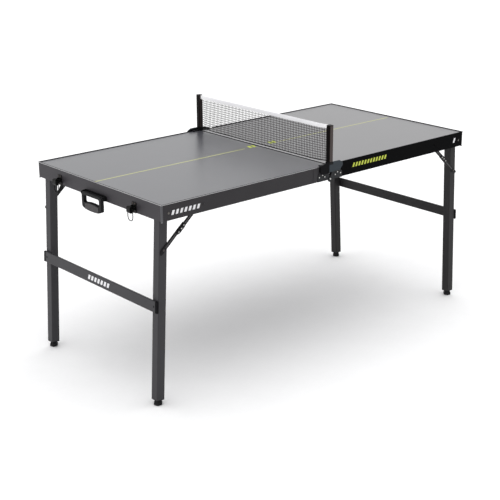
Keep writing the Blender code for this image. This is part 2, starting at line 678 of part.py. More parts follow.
def net_set(mats):
    """Posts on brackets that hook over the side rails, with the net between them."""
    turn = pivot("net_lift", Matrix.Translation((0, 0, HEIGHT)))
    h = POST_SIZE / 2
    for side, y_sign in SIDES.items():
        y = y_sign * POST_Y
        bm = bmesh.new()
        prism(bm, [rounded_rectangle((-h, y - h), (h, y + h), 0.003)], "z", BRACKET_BOSS + GAP, POST_TOP)
        post = finish(f"net_post_{side}", bm, mats["plastic"], turn)
        soften(post, 0.0015)
        net_bracket(side, y_sign, mats, turn)
    reach = POST_Y - h - GAP
    top, tape, thin, thick = NET_HEIGHT, NET_HEIGHT - TAPE_WIDTH, NET_THICK / 2, TAPE_THICK / 2
    outline = [
        (-thin, NET_BOTTOM), (-thin, tape), (-thick, tape), (-thick, top),
        (thick, top), (thick, tape), (thin, tape), (thin, NET_BOTTOM),
    ]
    bm = bmesh.new()
    prism(bm, [outline], "y", -reach, reach)
    finish("net", bm, mats["net"], turn)


def net_bracket(side, y_sign, mats, parent):
    """A long wing on one side of the post and a short sloped jaw on the other, hooked over the rail."""
    turn = -y_sign
    wing = arc(0.0525, -0.006, 0.012, -60, 60, 5)
    outline = [(-0.046, -0.0265), (0.050, -0.0265), *wing]
    outline += [(0.040, 0.008), (-0.050, 0.005), (-0.056, 0.002), (-0.056, -0.018), (-0.052, -0.0235)]
    inner, outer = HALF_WIDTH + GAP, HALF_WIDTH + GAP + BRACKET_THICK
    plate, cap, seat = bmesh.new(), bmesh.new(), bmesh.new()
    prism(plate, [[(turn * x, z) for x, z in outline]], "y", *sorted((y_sign * inner, y_sign * outer)))
    y0, y1 = sorted((y_sign * (HALF_WIDTH - 0.012), y_sign * (outer - 0.001)))
    x0, x1 = sorted((turn * -0.048, turn * 0.044))
    prism(cap, [[(x0, y0), (x1, y0), (x1, y1), (x0, y1)]], "z", GAP, 0.0042)
    y0, y1 = sorted((y_sign * (POST_Y - POST_SIZE / 2), y_sign * (POST_Y + POST_SIZE / 2 + 0.001)))
    prism(seat, [rounded_rectangle((-0.013, y0), (0.013, y1), 0.003)], "z", 0.002, BRACKET_BOSS)
    bracket = finish(f"net_bracket_{side}", plate, mats["plastic"], parent)
    boolean(bracket, f"bracket_cap_{side}", cap, "UNION")
    boolean(bracket, f"bracket_seat_{side}", seat, "UNION")


def make_materials():
    charcoal, black = (0.050, 0.048, 0.054), (0.012, 0.012, 0.014)
    return {
        "panel": material("panel", (0.26, 0.26, 0.28), 0.35),
        "rail_left": material("rail_left", charcoal, 0.42),
        "rail_right": material("rail_right", (0.014, 0.014, 0.016), 0.42),
        "leg": material("leg", (0.040, 0.040, 0.044), 0.45),
        "corner": material("corner", (0.085, 0.083, 0.092), 0.5),
        "hinge": material("hinge", (0.03, 0.03, 0.033), 0.4),
        "brace": material("brace", black, 0.4),
        "steel": material("steel", (0.45, 0.45, 0.47), 0.35, 1.0),
        "latch": material("latch", black, 0.4),
        "plastic": material("plastic", (0.018, 0.018, 0.020), 0.5),
        "net": material("net", (0.02, 0.02, 0.02), 0.8),
    }


def main():
    clear_scene()
    mats = make_materials()
    halves = {"left": None, "right": pivot("table_fold", Matrix())}
    for half in HALVES:
        half_top(half, mats, halves[half])
        frame = leg_frame(half, mats)
        braces(half, mats, frame)
    for side, y_sign in SIDES.items():
        fold_hinge(side, y_sign, mats, halves)
        latch(side, y_sign * LATCH_Y, mats)
    handle(mats)
    net_set(mats)


main()
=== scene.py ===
"""The looks of the folding ping pong table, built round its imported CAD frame."""

import json
import math
import random

import bmesh
import bpy
from mathutils import Matrix, Vector


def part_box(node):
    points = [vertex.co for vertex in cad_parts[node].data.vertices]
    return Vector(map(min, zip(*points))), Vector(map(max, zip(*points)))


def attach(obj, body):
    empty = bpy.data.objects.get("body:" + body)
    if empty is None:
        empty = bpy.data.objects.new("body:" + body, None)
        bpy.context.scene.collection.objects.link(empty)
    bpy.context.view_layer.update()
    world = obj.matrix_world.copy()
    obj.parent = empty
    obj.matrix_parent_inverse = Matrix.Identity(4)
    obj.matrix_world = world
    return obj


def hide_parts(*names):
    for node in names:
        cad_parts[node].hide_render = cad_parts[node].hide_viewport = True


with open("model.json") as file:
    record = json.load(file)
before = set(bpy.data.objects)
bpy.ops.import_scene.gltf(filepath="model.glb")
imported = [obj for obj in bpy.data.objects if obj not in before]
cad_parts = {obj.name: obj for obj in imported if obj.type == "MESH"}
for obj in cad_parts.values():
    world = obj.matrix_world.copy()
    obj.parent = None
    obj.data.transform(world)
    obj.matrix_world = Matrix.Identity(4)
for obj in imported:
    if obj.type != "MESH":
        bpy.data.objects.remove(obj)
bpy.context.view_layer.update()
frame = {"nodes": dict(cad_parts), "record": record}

HALVES = {"left": -1, "right": 1}
SIDES = {"near": -1, "far": 1}

# Places read from the frame
CORNER_LOW, CORNER_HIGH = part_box("corner_near_left")
HALF_LENGTH = -CORNER_LOW[0]
HALF_WIDTH = -CORNER_LOW[1]
TOP = CORNER_HIGH[2]
APRON_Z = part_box("end_rail_left")[0][2]
BOARD_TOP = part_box("top_panel_left")[1][2]
NET_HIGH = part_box("net")[1]
HANDLE_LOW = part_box("carry_handle")[0][2]

# Sizes shared with the CAD
LEG_LEAN = math.radians(3.16)
LEG_PIVOT = Vector((HALF_LENGTH - 0.030, 0, TOP - 0.031))
LEG_SIZE = 0.0345
LEG_DEPTH = 0.027
CROSSBAR_FACE = LEG_SIZE / 2 + 0.0003
CROSSBAR_THICK = 0.0085
CROSSBAR_HEIGHT = 0.042
CROSSBAR_DROP = 0.376
CROSSBAR_CENTRE = -(LEG_PIVOT.z - (TOP - CROSSBAR_DROP)) / math.cos(LEG_LEAN)
BRACE_PIVOT = Vector((LEG_PIVOT.x - 0.1535, 0, TOP - 0.029))
BRACE_ON_LEG = 0.1382
BRACE_FOLDED_SPARE = 0.0153
ARM_DEPTH = {"upper": 0.0193, "lower": 0.0239}
HANDLE_OUT = 0.0155
HANDLE_WIDTH = 0.1235
HANDLE_BELLY = 0.0045
HANDLE_GRIP = 0.0225
LATCH_Y = 0.238
LATCH_PIVOT_Z = TOP - 0.039
LATCH_PLATE = 0.0023
BRACKET_FACE = 0.0053
LEAF_PROUD = {"left": 0.0023, "right": 0.0046}

# Camera and light
LENS = 81.47
SENSOR = 36
CAMERA_PLACE = (-2.9878, -3.3320, 1.8727)
CAMERA_PITCH = math.radians(19.248)
CAMERA_YAW = math.radians(41.301)
CAMERA_ROLL = math.radians(-0.258)
SUN_TOWARDS = (0.10, -0.20, 1)
SUN_SPREAD = math.radians(85)
SUN_POWER = 1.75
SKY_BRIGHT_SIDE = (-0.42, 0.9, 0.1)
SKY_FACING = (-0.75, 0.2)
SKY_STRENGTH = (0.25, 0.98)
FLOOR_REACH = 12

# Relief and gloss that every finish shares
RELIEF_DEPTH = 0.0003
WEAVE_DEPTH = 0.0004
DRIFT_SCALE = 9
COLOUR_RAMP = (0.35, 0.65)
COAT_ROUGHNESS = 0.34
WAVES_PER_METRE = 0.314
SMOOTH_ANGLE = math.radians(40)

# Paint and marks
PAINT_THICK = 0.00015
PAINT_EDGE = 0.00003
MARK_THICK = 0.0003
MARK_EDGE = 0.00005
LINE_Y = 0.013
LINE_WIDTH = 0.0076
LINE_ENDS = {"left": (-0.796, -0.074), "right": (0.103, 0.777)}
NET_MARK_X = {"left": -0.050, "right": 0.062}
NET_MARK_Y = 0.007
NET_MARK_STEP = 0.020
NET_MARK_BAR = (0.013, 0.030, 0.007)
CROSSBAR_MARK_BAR = (0.0125, 0.018, 0.006)
BAR_SHARE = 0.55
BAR_LEAN = 0.35

# Beads and trims round the boards
BEAD_START = 0.068
BEAD_WIDTH = 0.0016
BEAD_RISE = 0.0016
BEAD_EASE = 0.0004
BEAD_SINK = 0.0002
TRIM_RISE = 0.0026
TRIM_GAP = 0.0001
SEAM_INSET = 0.004
# The seam's light strip is a painted reflection of the rail lip.
SEAMS = {
    "left": (("dark", 0.0011, 0.0075),),
    "right": (("dark", 0.0011, 0.0035), ("light", 0.0037, 0.0095)),
}

# Rivets and screws, as radius and height
RIVET_SINK = 0.0001
DOME_ANGLES = (0, 0.5, 1.0)
LEAF_RIVET = (0.0026, 0.0014)
BAR_SCREW = (0.0042, 0.0018)
LEG_RIVET = (0.0036, 0.0008)
LATCH_SCREW = (0.0022, 0.0010)
PIN_PROFILE = [(0, 0), (0.0040, 0), (0.0040, 0.0010), (0.0028, 0.0020), (0, 0.0022)]
PIN_HEIGHT = 0.0032
LEAF_RIVET_SPOTS = ((0.056, 0.040), (0.039, 0.0335), (0.027, 0.042))
LATCH_SCREW_SPOTS = ((-0.0062, -0.0155), (-0.0062, 0.0145), (0.0062, -0.0155), (0.0062, 0.0145))

# Caps and plates, with some as thickness and eased edge
STRIP_X = 0.0762
STRIP_HALF = 0.011
STRIP_FOOT = 0.002
STRIP_HEIGHT = TOP - APRON_Z - 0.005
STRIP_THICK = 0.0012
CAP_CORNER = 0.002
CAP_INSET = 0.0003
CAP_DROP = 0.0032
CAP_PLATE = (0.0031, 0.0006)
BAR_CAP_GAP = 0.0001
BAR_CAP_EXTRA = 0.0005
BAR_CAP_STATIONS = ((-0.0075, 0), (0.0016, 0), (0.0024, 0.0007))
POST_STRIP_HALF = 0.0078
POST_STRIP_FOOT = 0.001
POST_STRIP_HEAD = 0.002
POST_STRIP_PLATE = (0.0003, 0.0001)
# Painted shade: a black plate over the left wing of each bracket, darkening that side as its shade does.
BRACKET_SHADE_OUTLINE = [
    (-0.009, -0.0310), (-0.009, 0.0120), (-0.020, 0.0112), (-0.045, 0.0050),
    (-0.0555, 0.0015), (-0.0555, -0.0200), (-0.0516, -0.0275), (-0.0455, -0.0310),
]
BRACKET_SHADE_PLATE = (0.0026, 0.0012)
COVER_HEEL = [(-0.0085, 0.0115), (-0.0085, -0.0275), (0.0500, -0.0265)]
COVER_NOSE = (0.0525, -0.005, 0.0122, -60, 50)
COVER_BROW = [(0.046, 0.0120), (0.020, 0.0125)]
COVER_PLATE = (0.0034, 0.0014)

# The braces' details
WEB_START = 0.011
WEB_END = 0.010
WEB_HALF = 0.0020
WEB_CORNER = 0.0019
WEB_THICK = 0.0006
HOOK_THICK = 0.0010
LEG_RIVET_OUT = 0.0009
LOCK_THICK = 0.0028
LOCK_BACK_IN = 0.0075
LOCK_BACK_PLATE = (0.0003, 0.0001)
LOCK_RIVET_HEIGHT = 0.0013
LOCK_RIVETS = ((-0.0150, -0.001, 0.0024), (0.0, 0.0, 0.0026), (0.0160, 0.0, 0.0024))
LOCK_OUTLINE = [
    (-0.023, -0.0066), (0.020, -0.0066), (0.026, -0.003), (0.026, 0.003),
    (0.015, 0.0072), (-0.014, 0.0072), (-0.023, 0.004),
]
HOOK_OUTLINE = [
    (0.004, -0.0076), (0.004, 0.0076), (-0.008, 0.0072),
    (-0.0185, 0.0040), (-0.0215, -0.002), (-0.0185, -0.0070),
]

# The handle's sleeve and back plate
HANDLE_END_CURVE = (1.25, 0.4)
HANDLE_PLATE_HALF = 0.071
HANDLE_PLATE_SPAN = (0.001, 0.0205)
HANDLE_PLATE_CORNER = 0.006
HANDLE_PLATE_THICK = 0.0018
SLEEVE_REACH = 0.0430
SLEEVE_PITCH = 0.0023
SLEEVE_HALF = 0.0071
SLEEVE_CORNER = 0.0035
SLEEVE_END_INSET = 0.0185
SLEEVE_SHOULDER = 0.012
SLEEVE_HEADROOM = 0.0022
SLEEVE_RIBS = ((0, 0.0006), (0.6, 0.0006), (0.7, 0.0001), (0.9, 0.0001))

# The net
NET_SEED = 7
STRAND_RADIUS = 0.00098
STRAND_SIDES = 5
STRAND_PITCH = 0.0089
STRAND_SWAY = 0.0006
STRAND_SAG = 0.0008
STRAND_SAG_TURN = 0.21
MESH_END_GAP = 0.001
MESH_FOOT = 0.0095
MESH_HEAD = 0.013
NET_LIFT = 0.006
NET_LIFT_REACH = 0.10
TAPE_WIDTH = 0.0155
TAPE_HALF = 0.0015
TAPE_STEPS = 120
TAPE_RIPPLE = 0.0003
TAPE_RIPPLES = 61
HEM_WAVE = 0.0004
HEM_WAVES = 47
TAPE_CURL = 0.003
TAPE_CURL_REACH = 0.05
CORD_RADIUS = 0.0020
CORD_FOOT = 0.0085
CORD_STEPS = 100
NET_END_GAP = 0.0004


# Meshes


def link(name, bm):
    """The bmesh as an object, its faces turned outward."""
    bmesh.ops.recalc_face_normals(bm, faces=bm.faces)
    mesh = bpy.data.meshes.new(name)
    bm.to_mesh(mesh)
    bm.free()
    obj = bpy.data.objects.new(name, mesh)
    bpy.context.scene.collection.objects.link(obj)
    return obj


def piece(name, bm, mat, body, smooth=False):
    """A detail that rides on a CAD body, in the finish it is given."""
    obj = link(name, bm)
    obj.data.materials.append(mat)
    if smooth:
        obj.data.shade_smooth()
        obj.data.set_sharp_from_angle(angle=SMOOTH_ANGLE)
    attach(obj, body)
    return obj


def arc(x, y, radius, start, end, steps):
    """Points of an arc between two angles in degrees."""
    angles = [math.radians(start + (end - start) * i / steps) for i in range(steps + 1)]
    return [(x + radius * math.cos(a), y + radius * math.sin(a)) for a in angles]


def circle(radius, sides):
    """A regular outline round the origin."""
    return arc(0, 0, radius, 0, 360, sides)[:-1]


def rectangle(x0, x1, y0, y1):
    """A rectangle's outline."""
    return [(x0, y0), (x1, y0), (x1, y1), (x0, y1)]


def rounded(low, high, radius, steps=4):
    """A rectangle's outline with round corners."""
    (x0, y0), (x1, y1) = low, high
    r = radius
    return (
        arc(x1 - r, y1 - r, r, 0, 90, steps)
        + arc(x0 + r, y1 - r, r, 90, 180, steps)
        + arc(x0 + r, y0 + r, r, 180, 270, steps)
        + arc(x1 - r, y0 + r, r, 270, 360, steps)
    )


def slanted(x, width, height, lean):
    """A bar's outline that leans forward."""
    return [(x, 0), (x + width, 0), (x + width + lean, height), (x + lean, height)]


def shrunk(outline, amount):
    """A convex outline drawn in towards its middle by about an amount."""
    cx = sum(p[0] for p in outline) / len(outline)
    cy = sum(p[1] for p in outline) / len(outline)
    points = []
    for x, y in outline:
        away = Vector((x - cx, y - cy))
        away *= max(0.0, 1 - amount / max(away.length, 1e-6))
        points.append((cx + away.x, cy + away.y))
    return points


def skin(bm, loops):
    """A closed solid through a row of cross-sections, each a list of points in space."""
    rings = [[bm.verts.new(point) for point in loop] for loop in loops]
    for a, b in zip(rings, rings[1:]):
        for i in range(len(a)):
            bm.faces.new((a[i - 1], a[i], b[i], b[i - 1]))
    bm.faces.new(rings[0])
    bm.faces.new(rings[-1][::-1])


def plate(bm, outline, place, thick, edge=0.0003):
    """An outline in a frame's XY plane, raised along its Z axis, its top edge eased."""
    levels = [(outline, 0), (outline, thick - edge), (shrunk(outline, edge), thick)]
    skin(bm, [[place @ Vector((x, y, z)) for x, y in points] for points, z in levels])


def turned(bm, profile, place, sides=20):
    """A profile of (radius, height) turned about a frame's Z axis."""
    rings = []
    for radius, height in profile:
        if radius == 0:
            rings.append([bm.verts.new(place @ Vector((0, 0, height)))])
            continue
        rings.append([bm.verts.new(place @ Vector((x, y, height))) for x, y in circle(radius, sides)])
    for a, b in zip(rings, rings[1:]):
        for i in range(sides):
            j = (i + 1) % sides
            corners = [a[i % len(a)], a[j % len(a)], b[j % len(b)], b[i % len(b)]]
            bm.faces.new(list(dict.fromkeys(corners)))


def tube(bm, path, radius, sides):
    """A round strand along an open path, with closed ends."""
    loops = []
    last = len(path) - 1
    for i, point in enumerate(path):
        tangent = (path[min(i + 1, last)] - path[max(i - 1, 0)]).normalized()
        side = tangent.cross(Vector((1, 0, 0))).normalized()
        lift = tangent.cross(side)
        loops.append([point + side * u + lift * v for u, v in circle(radius, sides)])
    skin(bm, loops)


def rivet(bm, place, radius, height):
    """A low dome that sits on a face."""
    dome = [(radius * math.cos(a), height * math.sin(a) + RIVET_SINK) for a in DOME_ANGLES]
    turned(bm, [(0, -RIVET_SINK), (radius, -RIVET_SINK), *dome, (0, height)], place, 16)


# Frames


UPRIGHT = Matrix.Rotation(math.radians(90), 4, "X")
HALF_TURN = Matrix.Rotation(math.pi, 4, "Z")
END_TURN = Matrix(((0, 0, -1, 0), (-1, 0, 0, 0), (0, 1, 0, 0), (0, 0, 0, 1)))


def facing(side):
    """The turn that lays a frame's XY plane against a side face, with Z out of it."""
    return HALF_TURN @ UPRIGHT if side > 0 else UPRIGHT


def outward(x, z, side, proud=0.0):
    """A frame on a side face: X along the table, Y up, Z out of the face."""
    return Matrix.Translation((x, side * (HALF_WIDTH + proud), z)) @ facing(side)


def left_end(y, z, out=0.0):
    """A frame on the left end face: X towards the near side, Y up, Z out of the face."""
    return Matrix.Translation((-HALF_LENGTH - out, y, z)) @ END_TURN


def leg_frame_place(half):
    """The leg frame's own frame at rest: on its pivot, Z up the legs."""
    sign = HALVES[half]
    lean = Matrix.Rotation(-sign * LEG_LEAN, 4, "Y")
    return Matrix.Translation((sign * LEG_PIVOT.x, 0, LEG_PIVOT.z)) @ lean


# Materials


def finish_of(name, colour, rough, metal=0.0, specular=0.5, spread=0.08, grain=700, bump=0.12, coat=0.0):
    """A surface whose colour and relief vary finely, with a slow drift over the whole piece."""
    mat = bpy.data.materials.new(name)
    mat.use_nodes = True
    tree = mat.node_tree
    shader = tree.nodes["Principled BSDF"]
    shader.inputs["Roughness"].default_value = rough
    shader.inputs["Metallic"].default_value = metal
    shader.inputs["Specular IOR Level"].default_value = specular
    shader.inputs["Coat Weight"].default_value = coat
    shader.inputs["Coat Roughness"].default_value = COAT_ROUGHNESS
    place = tree.nodes.new("ShaderNodeTexCoord")
    fine = tree.nodes.new("ShaderNodeTexNoise")
    slow = tree.nodes.new("ShaderNodeTexNoise")
    fine.inputs["Scale"].default_value = grain
    slow.inputs["Scale"].default_value = DRIFT_SCALE
    total = tree.nodes.new("ShaderNodeMath")
    total.operation = "ADD"
    average = tree.nodes.new("ShaderNodeMath")
    average.operation = "MULTIPLY"
    average.inputs[1].default_value = 0.5
    ramp = tree.nodes.new("ShaderNodeValToRGB")
    for element, position, factor in zip(ramp.color_ramp.elements, COLOUR_RAMP, (1 - spread, 1 + spread)):
        element.position = position
        element.color = (*(min(1, c * factor) for c in colour), 1)
    relief = tree.nodes.new("ShaderNodeBump")
    relief.inputs["Strength"].default_value = bump
    relief.inputs["Distance"].default_value = RELIEF_DEPTH
    wires = (
        (place.outputs["Object"], fine.inputs["Vector"]),
        (place.outputs["Object"], slow.inputs["Vector"]),
        (fine.outputs["Fac"], total.inputs[0]),
        (slow.outputs["Fac"], total.inputs[1]),
        (total.outputs["Value"], average.inputs[0]),
        (average.outputs["Value"], ramp.inputs["Fac"]),
        (ramp.outputs["Color"], shader.inputs["Base Color"]),
        (fine.outputs["Fac"], relief.inputs["Height"]),
        (relief.outputs["Normal"], shader.inputs["Normal"]),
    )
    for start, end in wires:
        tree.links.new(start, end)
    return mat


def woven(name, colour, rough, pitch, bump):
    """Cloth with crossing threads."""
    mat = finish_of(name, colour, rough, specular=0.2)
    tree = mat.node_tree
    shader = tree.nodes["Principled BSDF"]
    place = tree.nodes["Texture Coordinate"]
    threads = []
    for direction in ("Y", "Z"):
        wave = tree.nodes.new("ShaderNodeTexWave")
        wave.bands_direction = direction
        wave.inputs["Scale"].default_value = WAVES_PER_METRE / pitch
        tree.links.new(place.outputs["Object"], wave.inputs["Vector"])
        threads.append(wave)
    cross = tree.nodes.new("ShaderNodeMath")
    cross.operation = "MULTIPLY"
    relief = tree.nodes.new("ShaderNodeBump")
    relief.inputs["Strength"].default_value = bump
    relief.inputs["Distance"].default_value = WEAVE_DEPTH
    for socket, wave in zip(cross.inputs, threads):
        tree.links.new(wave.outputs["Fac"], socket)
    tree.links.new(cross.outputs["Value"], relief.inputs["Height"])
    tree.links.new(relief.outputs["Normal"], shader.inputs["Normal"])
    return mat


BOARD_GLOSS = {"spread": 0.05, "bump": 0.03}

MATS = {
    "board": finish_of("board", (0.085, 0.083, 0.091), 0.34, specular=0.7, coat=0.7, **BOARD_GLOSS),
    "apron_left": finish_of("apron_left", (0.034, 0.031, 0.036), 0.45, specular=0.25),
    "apron_right": finish_of("apron_right", (0.003, 0.003, 0.0034), 0.5, specular=0.02),
    "corner_plastic": finish_of("corner_plastic", (0.078, 0.078, 0.085), 0.5, specular=0.4),
    "hinge_steel": finish_of("hinge_steel", (0.014, 0.015, 0.017), 0.42, specular=0.2),
    "bright_steel": finish_of("bright_steel", (0.16, 0.15, 0.14), 0.40, metal=1.0, bump=0.3),
    "leg_steel": finish_of("leg_steel", (0.032, 0.031, 0.035), 0.42, specular=0.27),
    "brace_steel": finish_of("brace_steel", (0.006, 0.006, 0.007), 0.40, specular=0.15),
    "latch_steel": finish_of("latch_steel", (0.003, 0.003, 0.003), 0.38, specular=0.12),
    "bail_wire": finish_of("bail_wire", (0.003, 0.003, 0.003), 0.5, specular=0.08),
    "black_plastic": finish_of("black_plastic", (0.004, 0.004, 0.005), 0.5, specular=0.15, bump=0.3),
    "foot_rubber": finish_of("foot_rubber", (0.008, 0.008, 0.009), 0.6, specular=0.2, bump=0.3),
    "net_fabric": woven("net_fabric", (0.022, 0.018, 0.019), 0.85, 0.0012, 0.4),
}
# Painted shade: the left board half takes a darker, bluer copy of the board's finish, standing in for the
# dimmer light and reflections on that half.
BOARD_LEFT_SHADED = finish_of("board_left_shaded", (0.058, 0.059, 0.070), 0.34, specular=0.65, coat=0.62, **BOARD_GLOSS)
# Painted shade: a darker copy of the left apron's finish for the left half's side faces, standing in for
# the shade on them.
SIDE_LEFT_SHADED = finish_of("side_left_shaded", (0.026, 0.024, 0.027), 0.45, specular=0.22)
# Painted shade: a darker copy of the leg steel for the right legs, standing in for the shade under the
# table.
LEG_SHADED_STEEL = finish_of("leg_shaded_steel", (0.021, 0.020, 0.021), 0.45, specular=0.18)
CAP_PLASTIC = finish_of("cap_plastic", (0.16, 0.16, 0.17), 0.5, specular=0.4)
POST_PLASTIC = finish_of("post_plastic", (0.003, 0.002, 0.002), 0.45, specular=0.08, bump=0.3)
POST_FACE = finish_of("post_face", (0.050, 0.036, 0.034), 0.45, specular=0.3, bump=0.2)
BRACKET_PLASTIC = finish_of("bracket_plastic", (0.020, 0.029, 0.038), 0.5, specular=0.3, bump=0.3)
GRIP_RUBBER = finish_of("grip_rubber", (0.090, 0.086, 0.088), 0.7, specular=0.2, grain=1200, bump=0.6)
RIVET_STEEL = finish_of("rivet_steel", (0.75, 0.74, 0.72), 0.32, metal=1.0, bump=0.2)
WORN_STEEL = finish_of("worn_steel", (0.10, 0.07, 0.06), 0.45, metal=0.6, bump=0.3)
# Painted highlight: the raised webs on the brace arms are far lighter than the brace steel, standing in
# for the arms' highlight.
ARM_HIGHLIGHT = finish_of("arm_highlight", (0.060, 0.058, 0.060), 0.4, specular=0.3)
LINE_PAINT = finish_of("line_paint", (0.425, 0.435, 0.18), 0.35, spread=0.06, specular=0.5)
BRIGHT_PAINT = finish_of("bright_paint", (0.54, 0.62, 0.07), 0.5, spread=0.06, specular=0.3)
WHITE_PAINT = finish_of("white_paint", (0.80, 0.80, 0.82), 0.5, spread=0.03, specular=0.3)
# Painted highlight: a pale grey on the left half's beads for the highlight on their rounded edge, and on
# the light seam strip for the rail lip's grazing reflection.
EDGE_HIGHLIGHT_PAINT = finish_of("edge_highlight_paint", (0.46, 0.46, 0.47), 0.35, spread=0.05)
TRIM_BLACK = finish_of("trim_black", (0.006, 0.006, 0.007), 0.6, specular=0.05)
TAPE_CLOTH = woven("tape_cloth", (0.95, 0.94, 0.98), 0.85, 0.0009, 0.25)
CORD_CLOTH = woven("cord_cloth", (0.012, 0.011, 0.012), 0.8, 0.0009, 0.4)


def finish_cad_nodes():
    """Each CAD node in its slot's finish, but for the posts' own finish and the darker copies that paint
    shade on the left board, the left side rails and the right legs.
    """
    own = {
        # Painted shade: the left board and left side rails take darker copies of their slots' finishes.
        "top_panel_left": BOARD_LEFT_SHADED,
        "side_rail_near_left": SIDE_LEFT_SHADED,
        "side_rail_far_left": SIDE_LEFT_SHADED,
        "net_post_near": POST_PLASTIC,
        "net_post_far": POST_PLASTIC,
    }
    for part in frame["record"]["subparts"]:
        name, slot = part["node"], part["material_slot"]
        mat = own.get(name, MATS[slot])
        # Painted shade: the right legs take the darker copy of the leg steel.
        if slot == "leg_steel" and name.endswith("right"):
            mat = LEG_SHADED_STEEL
        node = frame["nodes"][name]
        node.data.materials.clear()
        node.data.materials.append(mat)


# Camera, light and floor


def camera():
    """A long lens off the left end's near corner, looking down on the table."""
    data = bpy.data.cameras.new("camera")
    data.lens = LENS
    data.sensor_width = SENSOR
    obj = bpy.data.objects.new("camera", data)
    bpy.context.scene.collection.objects.link(obj)
    aim = Matrix.Rotation(-CAMERA_YAW, 4, "Z") @ Matrix.Rotation(math.pi / 2 - CAMERA_PITCH, 4, "X")
    obj.matrix_world = Matrix.Translation(CAMERA_PLACE) @ aim @ Matrix.Rotation(CAMERA_ROLL, 4, "Z")
    bpy.context.scene.camera = obj


def overhead_light():
    """An even light from above, as wide as a ceiling of lamps."""
    data = bpy.data.lights.new("overhead", "SUN")
    data.angle = SUN_SPREAD
    data.energy = SUN_POWER
    obj = bpy.data.objects.new("overhead", data)
    bpy.context.scene.collection.objects.link(obj)
    obj.rotation_euler = Vector(SUN_TOWARDS).to_track_quat("Z", "Y").to_euler()


def studio():
    """White surroundings that fall off towards the near side."""
    world = bpy.data.worlds.new("studio")
    bpy.context.scene.world = world
    world.use_nodes = True
    tree = world.node_tree
    background = tree.nodes["Background"]
    background.inputs["Color"].default_value = (1, 1, 1, 1)
    place = tree.nodes.new("ShaderNodeTexCoord")
    towards = tree.nodes.new("ShaderNodeVectorMath")
    towards.operation = "DOT_PRODUCT"
    towards.inputs[1].default_value = SKY_BRIGHT_SIDE
    fall = tree.nodes.new("ShaderNodeMapRange")
    fall.interpolation_type = "SMOOTHSTEP"
    for socket, value in zip(("From Min", "From Max", "To Min", "To Max"), SKY_FACING + SKY_STRENGTH):
        fall.inputs[socket].default_value = value
    tree.links.new(place.outputs["Generated"], towards.inputs[0])
    tree.links.new(towards.outputs["Value"], fall.inputs["Value"])
    tree.links.new(fall.outputs["Result"], background.inputs["Strength"])
    bpy.context.scene.view_settings.view_transform = "Standard"


def floor():
    """A plain pale floor."""
    bm = bmesh.new()
    bmesh.ops.create_grid(bm, x_segments=1, y_segments=1, size=FLOOR_REACH)
    obj = link("floor", bm)
    mat = finish_of("floor", (0.93, 0.93, 0.935), 0.9, spread=0.01, grain=60, specular=0.2)
    obj.data.materials.append(mat)


# Painted lines, marks and trims


def on_board(name, outline, mat, half):
    """A thin coat of paint on a board."""
    bm = bmesh.new()
    plate(bm, outline, Matrix.Translation((0, 0, BOARD_TOP)), PAINT_THICK, PAINT_EDGE)
    piece(name, bm, mat, f"{half}_half")


def painted_lines():
    """The centre line, and a pair of slanted bars over it at each side of the net."""
    for half, ends in LINE_ENDS.items():
        outline = rectangle(*ends, LINE_Y - LINE_WIDTH / 2, LINE_Y + LINE_WIDTH / 2)
        on_board(f"centre_line_{half}", outline, LINE_PAINT, half)
    for half, x in NET_MARK_X.items():
        bm = bmesh.new()
        for step in (0, NET_MARK_STEP):
            place = Matrix.Translation((x + step, NET_MARK_Y, BOARD_TOP))
            plate(bm, slanted(0, *NET_MARK_BAR), place, PAINT_THICK, PAINT_EDGE)
        piece(f"net_mark_{half}", bm, BRIGHT_PAINT, f"{half}_half")


def bead(name, xs, ys, rise, mat, half):
    """A raised strip along a rail's upper edge, its corners eased."""
    (x0, x1), (y0, y1) = sorted(xs), sorted(ys)
    bm = bmesh.new()
    outline = rounded((x0, y0), (x1, y1), BEAD_EASE, 2)
    plate(bm, outline, Matrix.Translation((0, 0, TOP - BEAD_SINK)), rise, BEAD_EASE)
    piece(name, bm, mat, f"{half}_half")


def trims():
    """A dark strip round each board, a bead outside it, pale with painted highlight on the left half, and
    the strips at the seam, the light one a painted reflection.
    """
    trim_out = BEAD_WIDTH + TRIM_GAP
    trim_in = 2 * BEAD_WIDTH
    seam_paint = {"dark": TRIM_BLACK, "light": EDGE_HIGHLIGHT_PAINT}
    for half, sign in HALVES.items():
        # Painted highlight: the left half's beads are pale for the highlight on their rounded edge.
        mat = EDGE_HIGHLIGHT_PAINT if half == "left" else TRIM_BLACK
        start, end = sign * BEAD_START, sign * HALF_LENGTH
        for side, y_sign in SIDES.items():
            ys = (y_sign * HALF_WIDTH, y_sign * (HALF_WIDTH - BEAD_WIDTH))
            bead(f"side_bead_{side}_{half}", (start, end), ys, BEAD_RISE, mat, half)
            xs = (start, end - sign * BEAD_WIDTH)
            ys = (y_sign * (HALF_WIDTH - trim_out), y_sign * (HALF_WIDTH - trim_in))
            bead(f"side_trim_{side}_{half}", xs, ys, TRIM_RISE, TRIM_BLACK, half)
        reach = HALF_WIDTH - trim_out
        bead(f"end_bead_{half}", (end - sign * BEAD_WIDTH, end), (-reach, reach), BEAD_RISE, mat, half)
        xs = (end - sign * trim_in, end - sign * trim_out)
        reach = HALF_WIDTH - trim_in - TRIM_GAP
        bead(f"end_trim_{half}", xs, (-reach, reach), TRIM_RISE, TRIM_BLACK, half)
        for tone, inner, outer in SEAMS[half]:
            xs = sorted((sign * inner, sign * outer))
            outline = rectangle(*xs, -HALF_WIDTH + SEAM_INSET, HALF_WIDTH - SEAM_INSET)
            on_board(f"seam_{tone}_{half}", outline, seam_paint[tone], half)


